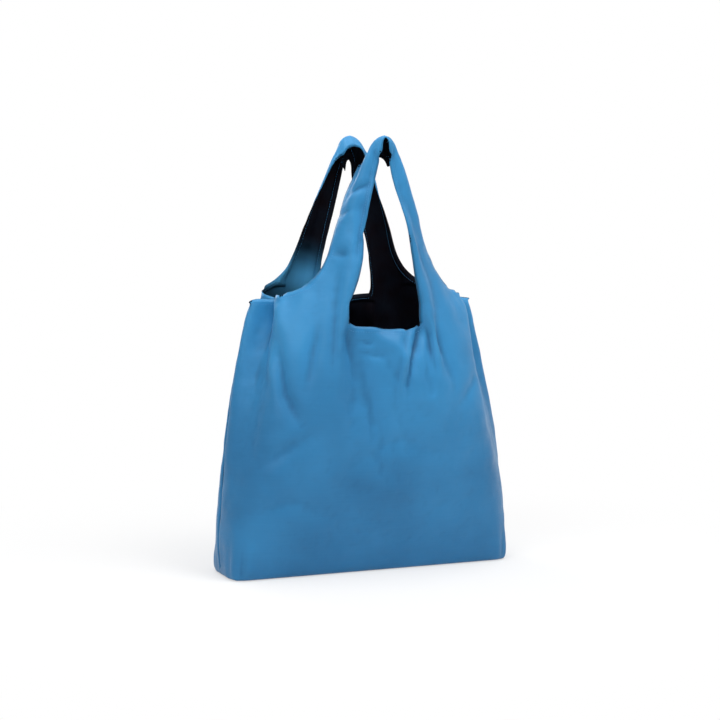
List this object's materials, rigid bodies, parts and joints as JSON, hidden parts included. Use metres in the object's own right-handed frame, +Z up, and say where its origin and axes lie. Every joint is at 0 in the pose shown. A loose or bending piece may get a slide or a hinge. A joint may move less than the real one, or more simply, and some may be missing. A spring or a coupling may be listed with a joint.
{
  "type": "foldable shopping bag",
  "caption": "Soft woven carrier bag standing open on a boxed base, with loop handles cut in one with its panels.",
  "frame": {"origin": "middle of the base, on the surface that the bag stands on", "axes": "+Z up, X across the bag from side seam to side seam, -Y towards the front panel"},
  "size_m": [0.41, 0.186, 0.59],
  "materials": {
    "cloth": "fine plain-woven synthetic cloth with a soft satin sheen"
  },
  "bodies": {
    "root": {"front_panel": "cloth", "back_panel": "cloth"}
  },
  "joints": []
}
